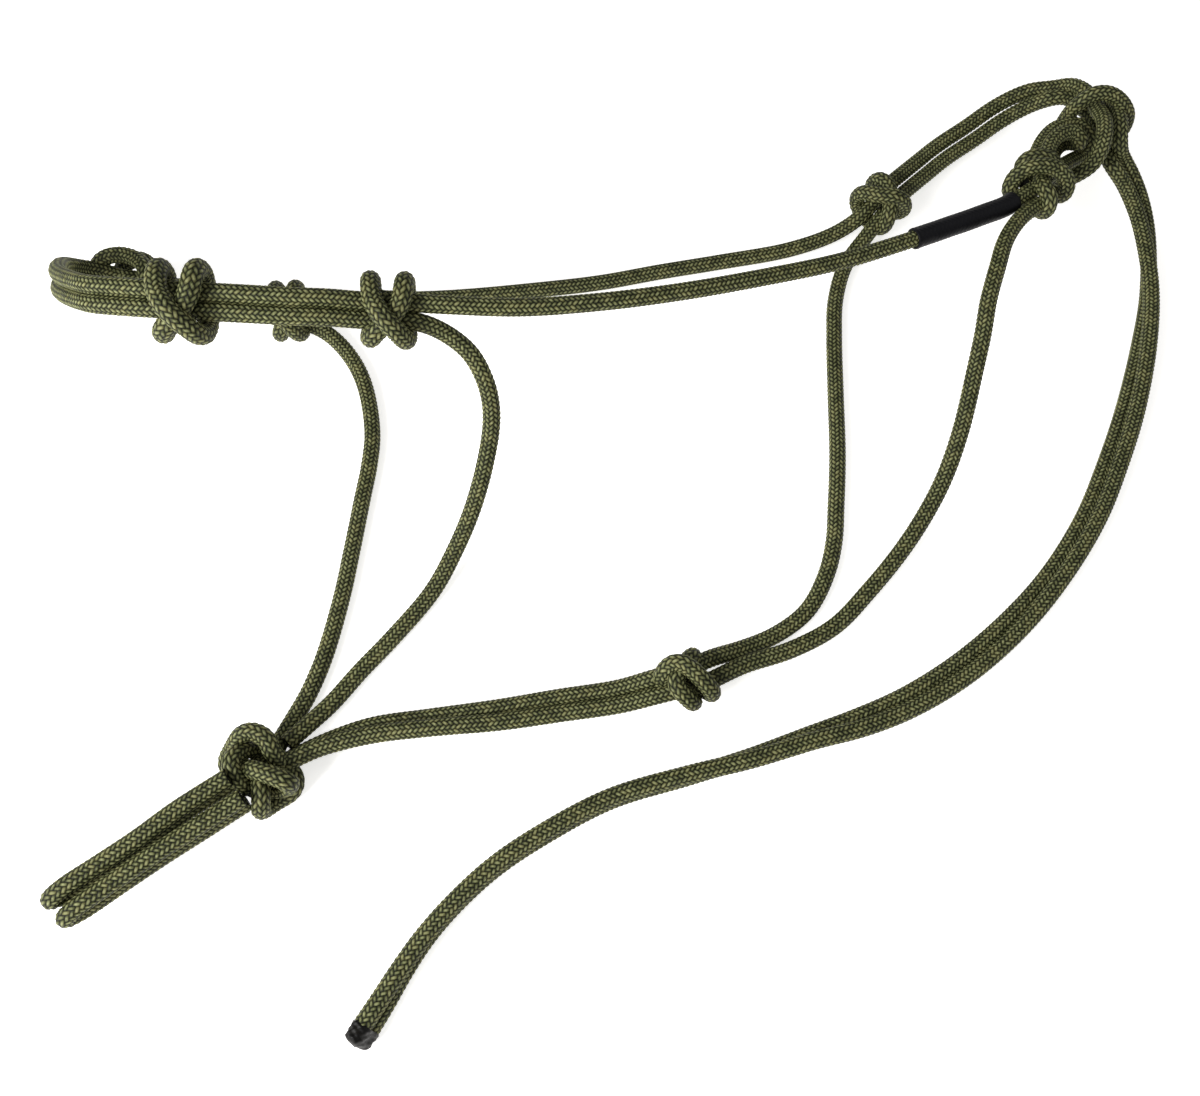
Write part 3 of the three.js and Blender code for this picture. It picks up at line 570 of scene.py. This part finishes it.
def braid_nodes(m):
    """Crest height, distance across the pick, and a random number for each pick."""
    uv = m.new("ShaderNodeUVMap", uv_map="braid")
    split = m.new("ShaderNodeSeparateXYZ")
    m.tree.links.new(uv.outputs[0], split.inputs[0])
    u, v = split.outputs[0], split.outputs[1]
    a, b = m.math("ADD", u, v), m.math("SUBTRACT", u, v)
    ia, ib = m.math("FLOOR", a), m.math("FLOOR", b)
    phase = m.math("FLOORED_MODULO", m.math("ADD", ia, ib), 4.0)
    over = m.math("LESS_THAN", phase, 1.5)
    across = m.blend(over, m.math("SUBTRACT", b, ib), m.math("SUBTRACT", a, ia))
    run_a = m.math("ADD", b, ia)
    run_b = m.math("ADD", a, ib)
    along_a = m.math("MULTIPLY", m.math("FLOORED_MODULO", run_a, 4.0), 0.5)
    along_b = m.math("SUBTRACT", m.math("MULTIPLY", m.math("FLOORED_MODULO", run_b, 4.0), 0.5), 1.0)
    along = m.blend(over, along_b, along_a)
    bulge = hump(m, across, BULGE_POWER)
    arch = hump(m, along, ARCH_POWER)
    height = m.math("MULTIPLY", bulge, m.math("MULTIPLY_ADD", arch, 1 - PICK_END, PICK_END))
    place = m.vector(
        m.blend(over, ib, ia),
        m.math("FLOOR", m.math("MULTIPLY", m.blend(over, run_b, run_a), 0.25)),
        over,
    )
    noise = m.new("ShaderNodeTexWhiteNoise", noise_dimensions="3D")
    m.tree.links.new(place, noise.inputs[0])
    return {"across": across, "height": height, "random": noise.outputs[0]}


def rope_material(name, dark, mid, bright, warm):
    m = Nodes(name)
    w = braid_nodes(m)
    # four yarns lie side by side in each pick
    yarn = m.math("SINE", m.math("MULTIPLY", w["across"], 2 * math.pi * 4))
    slub = m.new("ShaderNodeTexNoise", noise_dimensions="2D")
    scale = m.new("ShaderNodeVectorMath", operation="MULTIPLY")
    uv = m.new("ShaderNodeUVMap", uv_map="braid")
    m.tree.links.new(uv.outputs[0], scale.inputs[0])
    scale.inputs[1].default_value = (3.0, 3.0, 1.0)
    m.tree.links.new(scale.outputs[0], slub.inputs["Vector"])
    slub.inputs["Scale"].default_value = 1.0
    slub.inputs["Detail"].default_value = 3.0
    patches = m.new("ShaderNodeTexNoise", noise_dimensions="3D")
    place = m.new("ShaderNodeTexCoord")
    m.tree.links.new(place.outputs["Object"], patches.inputs["Vector"])
    patches.inputs["Scale"].default_value = 42.0
    patches.inputs["Detail"].default_value = 4.0
    # Each pick gets a random tone, plus a painted highlight that lightens it towards its crest.
    tone = m.math("MULTIPLY_ADD", w["random"], 0.22, m.math("MULTIPLY", w["height"], 0.72))
    tone = m.math("ADD", tone, m.math("MULTIPLY", m.math("SUBTRACT", slub.outputs[0], 0.5), 0.3))
    patch = m.math("MULTIPLY", m.math("SUBTRACT", patches.outputs[0], 0.5), 0.1)
    tone = m.math("ADD", tone, patch, clamp=True)
    tone = m.math("MULTIPLY_ADD", yarn, 0.05, tone)
    colour = m.ramp(tone, [(0.0, dark), (0.2, dark), (0.58, mid), (1.0, bright)])
    colour = m.mix(m.math("MULTIPLY", m.math("GREATER_THAN", w["random"], 0.75), 0.2), colour, warm)
    # Painted shade: the grooves between picks are blended towards the dark colour.
    groove = m.math("SUBTRACT", 1.0, m.math("MULTIPLY", w["height"], 2.0, clamp=True))
    colour = m.mix(groove, colour, dark)
    bump = m.new("ShaderNodeBump")
    bump.inputs["Strength"].default_value = 0.55
    bump.inputs["Distance"].default_value = 0.00028
    fine = m.math("MULTIPLY_ADD", yarn, 0.09, w["height"])
    m.feed(bump.inputs["Height"], fine)
    shader = m.new("ShaderNodeBsdfPrincipled")
    m.feed(shader.inputs["Base Color"], colour)
    m.feed(shader.inputs["Roughness"], m.math("MULTIPLY_ADD", w["random"], 0.15, 0.5))
    shader.inputs["Specular IOR Level"].default_value = 0.12
    m.tree.links.new(bump.outputs[0], shader.inputs["Normal"])
    m.tree.links.new(shader.outputs[0], m.out.inputs[0])
    return m.material


# Rope colours along a pick's height: dark is painted shade for the grooves, mid is the rope's own
# olive, and bright is a painted highlight for the crests.
ROPE = rope_material(
    "olive_braid", linear(9, 10, 5), linear(66, 69, 40), linear(150, 152, 108), linear(98, 88, 48)
)


def sleeve_material():
    m = Nodes("shrunk_tube")
    place = m.new("ShaderNodeTexCoord")
    uv = m.new("ShaderNodeUVMap", uv_map="braid")
    haze = m.new("ShaderNodeTexNoise")
    m.tree.links.new(place.outputs["Object"], haze.inputs["Vector"])
    haze.inputs["Scale"].default_value = 260.0
    haze.inputs["Detail"].default_value = 5.0
    grain = m.new("ShaderNodeTexNoise")
    m.tree.links.new(place.outputs["Object"], grain.inputs["Vector"])
    grain.inputs["Scale"].default_value = 2600.0
    grain.inputs["Detail"].default_value = 3.0
    colour = m.ramp(haze.outputs[0], [(0.3, linear(2, 2, 5)), (0.7, linear(8, 8, 12))])
    w = braid_nodes(m)
    bump = m.new("ShaderNodeBump")
    bump.inputs["Strength"].default_value = 0.35
    bump.inputs["Distance"].default_value = 0.0002
    height = m.math("MULTIPLY_ADD", grain.outputs[0], 0.12, m.math("MULTIPLY", w["height"], 0.5))
    m.feed(bump.inputs["Height"], height)
    shader = m.new("ShaderNodeBsdfPrincipled")
    m.feed(shader.inputs["Base Color"], colour)
    m.feed(shader.inputs["Roughness"], m.math("MULTIPLY_ADD", haze.outputs[0], 0.2, 0.4))
    shader.inputs["Specular IOR Level"].default_value = 0.15
    m.tree.links.new(bump.outputs[0], shader.inputs["Normal"])
    m.tree.links.new(shader.outputs[0], m.out.inputs[0])
    return m.material


def melted_material():
    m = Nodes("melted_end")
    place = m.new("ShaderNodeTexCoord")
    blotch = m.new("ShaderNodeTexNoise")
    m.tree.links.new(place.outputs["Object"], blotch.inputs["Vector"])
    blotch.inputs["Scale"].default_value = 420.0
    blotch.inputs["Detail"].default_value = 4.0
    colour = m.ramp(
        blotch.outputs[0],
        [(0.3, linear(3, 3, 2)), (0.55, linear(9, 8, 6)), (0.75, linear(24, 22, 17))],
    )
    bump = m.new("ShaderNodeBump")
    bump.inputs["Strength"].default_value = 0.6
    bump.inputs["Distance"].default_value = 0.0004
    m.feed(bump.inputs["Height"], blotch.outputs[0])
    shader = m.new("ShaderNodeBsdfPrincipled")
    m.feed(shader.inputs["Base Color"], colour)
    m.feed(shader.inputs["Roughness"], m.math("MULTIPLY_ADD", blotch.outputs[0], 0.4, 0.25))
    shader.inputs["Specular IOR Level"].default_value = 0.14
    m.tree.links.new(bump.outputs[0], shader.inputs["Normal"])
    m.tree.links.new(shader.outputs[0], m.out.inputs[0])
    return m.material


SLEEVE = sleeve_material()
MELTED = melted_material()

# ---- Camera, at the angle the halter is seen from ------------------------------------------------

camera_data = bpy.data.cameras.new("camera")
camera_data.sensor_fit = "HORIZONTAL"
camera_data.sensor_width = 36.0
camera_data.lens = 34.5
camera_data.clip_start = 0.01
camera_data.clip_end = 20.0
camera = bpy.data.objects.new("camera", camera_data)
camera.location = (-0.011, -0.186, 0.40737)
camera.rotation_euler = (math.radians(22.632), 0.0, 0.0)
bpy.context.scene.collection.objects.link(camera)
bpy.context.scene.camera = camera

# ---- Ropes ---------------------------------------------------------------------------------------

routes = {}
routes["noseband_front_upper"], routes["noseband_front_lower"] = strands_of_ring(NOSE_FRONT)
routes["noseband_near_upper"], routes["noseband_near_lower"] = strands_of_ring(NOSE_NEAR)
routes["noseband_far_upper"], routes["noseband_far_lower"] = strands_of_ring(NOSE_FAR)
routes["cheek_piece_near"] = np.array(CHEEK_NEAR, float)
routes["cheek_piece_far"] = np.array(CHEEK_FAR, float)
routes["chin_strand_near"] = np.array(CHIN_NEAR, float)
routes["chin_strand_far"] = np.array(CHIN_FAR, float)
routes["jaw_strand_a"], routes["jaw_strand_b"] = strands_of_pair(JAW, UP, PRESSED_HALF)
routes["throat_strand_near"] = np.array(THROAT_NEAR, float)
routes["throat_strand_far"] = np.array(THROAT_FAR, float)
routes["crown_strand_a"], routes["crown_strand_b"] = strands_of_pair(CROWN, UP)
routes["tie_loop_outer"] = np.array(TIE_LOOP_OUTER, float)
routes["tie_loop_inner"] = np.array(TIE_LOOP_INNER, float)
routes["crown_hitch_a"] = np.array(CROWN_HITCH_A, float)
routes["crown_hitch_b"] = np.array(CROWN_HITCH_B, float)
routes["hitch_turn"] = np.array(HITCH_TURN, float)
routes["tail_strand_a"], routes["tail_strand_b"] = strands_of_pair(TAIL, UP, PRESSED_HALF)
routes["lead_loop_a"] = np.array(LEAD_LOOP_A, float)
routes["lead_loop_b"] = np.array(LEAD_LOOP_B, float)

BODY_OF = {"lead_loop_a": "loop_a", "lead_loop_b": "loop_b"}

# Strands that run on into each other in full view, so their braid runs on too.
CHAINS = [
    ["crown_strand_a", "crown_hitch_a", "tail_strand_a"],
    ["crown_strand_b", "crown_hitch_b"],
    ["hitch_turn", "tail_strand_b"],
]
# How far a strand runs on at its start and end, where it isn't by END_REACH.
REACH = {
    "chin_strand_near": (END_REACH, DEEP_REACH),
    "chin_strand_far": (END_REACH, DEEP_REACH),
    "jaw_strand_a": (DEEP_REACH, END_REACH),
    "jaw_strand_b": (DEEP_REACH, END_REACH),
}


def chain_lines(names):
    """One smooth line through the routes of several strands, cut where one gives way to the next."""
    points = [list(routes[names[0]][0][:3])]
    for name in names:
        points += [list(p[:3]) for p in routes[name][1:]]
    line = softened(evenly(smooth_curve(points), 0.5), 4)
    cuts = [0]
    for name in names[:-1]:
        cuts.append(int(np.argmin(np.linalg.norm(line - routes[name][-1][:3], axis=1))))
    cuts.append(len(line) - 1)
    return [line[a : b + 1] for a, b in zip(cuts, cuts[1:])]


made = {}
lines = {}


def add_strand(name, line, carry=None):
    lines[name] = line + LAYOUT_SHIFT
    piece = rope_mesh("rope_" + name, lines[name], ROPE_RADIUS, carry=carry)
    piece.data.materials.append(ROPE)
    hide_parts(name)
    if not name.startswith("tail"):
        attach(piece, BODY_OF.get(name, "halter"))
    made[name] = piece


chained = {name for chain in CHAINS for name in chain}
for name, points in routes.items():
    if name not in chained:
        line = softened(evenly(smooth_curve(points), 0.5), 4)
        add_strand(name, extended(line, *REACH.get(name, (END_REACH, END_REACH))))
for chain in CHAINS:
    carry = {}
    for name, line in zip(chain, chain_lines(chain)):
        add_strand(name, line, carry)

knot_turns = {name: placed(*knot) for name, knot in KNOTS.items()}
knot_turns.update(KNOTS_IN_PLACE)
for name, turns in knot_turns.items():
    line = softened(evenly(smooth_curve(turns, True), 0.5, True), 3, True)
    piece = rope_mesh("rope_" + name, line + LAYOUT_SHIFT, FULL_KNOTS.get(name, KNOT_RADIUS), True)
    piece.data.materials.append(ROPE)
    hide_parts(name)
    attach(piece, "halter")
    made[name] = piece

# ---- Sleeve --------------------------------------------------------------------------------------


def sleeve_mesh(name, points):
    """Shrunk tubing that follows the rope's braid faintly, with rolled ends."""
    line = evenly(smooth_curve(points), SLEEVE_STEP) + LAYOUT_SHIFT
    n = len(line)
    tangent, e1, e2 = frames_along(line, False)
    run = np.arange(n) * SLEEVE_STEP
    theta = np.arange(SIDES) / SIDES
    angle = theta * 2 * math.pi
    height = braid_height(theta[None, :] * BRAID_COLUMNS, (run / BRAID_PITCH)[:, None])
    ripple = 0.05 * np.sin(run / 2.3)[:, None] * np.cos(3 * angle + 1.0)[None, :]
    r = SLEEVE_RADIUS + 0.1 * height + ripple
    from_end = np.minimum(run, run[-1] - run)
    r = r + 0.13 * np.exp(-((from_end - 0.9) / 0.5) ** 2)[:, None]
    ring = e1[:, None, :] * np.cos(angle)[None, :, None] + e2[:, None, :] * np.sin(angle)[None, :, None]
    outer_shell = line[:, None, :] + ring * r[:, :, None]
    inner_shell = line[:, None, :] + ring * SLEEVE_BORE
    start_lip = line[0] - tangent[0] * 0.25 + ring[0] * (r[0][:, None] - SLEEVE_LIP)
    end_lip = line[-1] + tangent[-1] * 0.25 + ring[-1] * (r[-1][:, None] - SLEEVE_LIP)
    rows = np.concatenate(
        [inner_shell[:1], start_lip[None], outer_shell, end_lip[None], inner_shell[-1:]]
    )
    m = len(rows)
    verts = rows.reshape(-1, 3)
    i = np.repeat(np.arange(m), SIDES)
    j = np.tile(np.arange(SIDES), m)
    i2, j2 = (i + 1) % m, (j + 1) % SIDES
    quads = np.stack([i * SIDES + j, i * SIDES + j2, i2 * SIDES + j2, i2 * SIDES + j], axis=1)
    vv = np.concatenate([[0, 0], run / BRAID_PITCH, [run[-1] / BRAID_PITCH] * 2])
    u0, u1 = theta[j] * BRAID_COLUMNS, (j + 1) / SIDES * BRAID_COLUMNS
    uvs = corner_uvs(u0, u1, vv[i], vv[i2])
    return new_mesh(name, verts, quads, uvs)


sleeve = sleeve_mesh("sleeve_on_cheek_piece", SLEEVE_ROUTE)
sleeve.data.materials.append(SLEEVE)
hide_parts("label_sleeve")
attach(sleeve, "halter")

# ---- Melted end ----------------------------------------------------------------------------------

tail_end = np.array(TAIL[-1][:3], float)
tail_way = unit(tail_end - np.array(TAIL[-2][:3], float))
tail_across = unit(routes["tail_strand_a"][-1] - routes["tail_strand_b"][-1])
tail_up = np.cross(tail_way, tail_across)


def melted_mesh(name):
    """Two rope ends run together: two lobes that join, wrinkled and rounded at the end."""
    rows, cols = 26, 64
    verts = []
    angle = np.arange(cols) / cols * 2 * math.pi
    for k in range(rows):
        t = k / (rows - 1)
        z = MELTED_LENGTH * t
        close = math.sqrt(max(0.0, 1 - max(0.0, (t - 0.62) / 0.38) ** 2.4))
        lip = 0.35 * math.exp(-((t - 0.12) / 0.08) ** 2)
        for a in angle:
            x, y = math.cos(a), math.sin(a)
            waist = 1 - 0.16 * math.exp(-((x / 0.35) ** 2))
            wrinkle = 0.22 * math.sin(5 * a + 9 * t) * math.sin(11 * t + 2)
            wrinkle += 0.12 * math.sin(9 * a - 14 * t)
            rx = (MELTED_HALF_WIDTH + lip + wrinkle) * (0.25 + 0.75 * close)
            ry = (MELTED_HALF_DEPTH + lip + wrinkle) * waist * (0.1 + 0.9 * close)
            verts.append(
                tail_end
                + tail_way * (z - 0.3)
                + tail_across * (rx * math.copysign(abs(x) ** 0.85, x))
                + tail_up * (ry * math.copysign(abs(y) ** 0.9, y))
            )
    verts = np.array(verts) + LAYOUT_SHIFT
    i = np.repeat(np.arange(rows - 1), cols)
    j = np.tile(np.arange(cols), rows - 1)
    j2 = (j + 1) % cols
    quads = np.stack([i * cols + j, i * cols + j2, (i + 1) * cols + j2, (i + 1) * cols + j], axis=1)
    uvs = np.zeros((len(quads), 4, 2))
    first, last = len(verts), len(verts) + 1
    caps = np.vstack([verts, verts[:cols].mean(0), verts[-cols:].mean(0) + tail_way * 0.25])
    k = np.arange(cols)
    k2 = (k + 1) % cols
    base = (rows - 1) * cols
    tris = np.vstack(
        [
            np.stack([np.full(cols, first), k2, k], 1),
            np.stack([np.full(cols, last), base + k, base + k2], 1),
        ]
    )
    return new_mesh(name, caps, quads, uvs, tris, np.zeros((len(tris), 3, 2)))


tip = melted_mesh("melted_tail_end")
tip.data.materials.append(MELTED)
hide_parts("tail_tip")
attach(tip, "tail")

# ---- Tail strands, baked in place; their route bends where it leaves the hitch -------------------

for name in ("tail_strand_a", "tail_strand_b"):
    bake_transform(made[name])

# ---- Floor and light -----------------------------------------------------------------------------

floor_mesh = bpy.data.meshes.new("floor")
floor_mesh.from_pydata([(-6, -6, 0), (6, -6, 0), (6, 6, 0), (-6, 6, 0)], [], [(0, 1, 2, 3)])
floor = bpy.data.objects.new("floor", floor_mesh)
bpy.context.scene.collection.objects.link(floor)
floor.location.z = float(min(0.0, CAD_LO.z)) - 0.0001
m = Nodes("pale_floor")
shader = m.new("ShaderNodeBsdfPrincipled")
shader.inputs["Base Color"].default_value = (0.92, 0.9, 0.87, 1)
shader.inputs["Emission Color"].default_value = (1, 1, 1, 1)
shader.inputs["Emission Strength"].default_value = 0.62
shader.inputs["Roughness"].default_value = 0.9
shader.inputs["Specular IOR Level"].default_value = 0.1
m.tree.links.new(shader.outputs[0], m.out.inputs[0])
floor_mesh.materials.append(m.material)


def area_light(name, place, aim, size, power):
    data = bpy.data.lights.new(name, "AREA")
    data.shape = "SQUARE"
    data.size = size
    data.energy = power
    light = bpy.data.objects.new(name, data)
    light.location = place
    light.rotation_euler = (Vector(aim) - Vector(place)).to_track_quat("-Z", "Y").to_euler()
    bpy.context.scene.collection.objects.link(light)


area_light("key", (-0.58, -0.42, 0.52), (-0.1, -0.03, 0.03), 0.5, 11)
area_light("fill", (1.3, 0.2, 1.5), (0, 0, 0), 1.6, 3)

world = bpy.data.worlds.new("world")
world.use_nodes = True
world.node_tree.nodes["Background"].inputs[0].default_value = (1, 1, 1, 1)
world.node_tree.nodes["Background"].inputs[1].default_value = 0.42
bpy.context.scene.world = world
bpy.context.scene.view_settings.view_transform = "Standard"
bpy.context.scene.view_settings.look = "None"
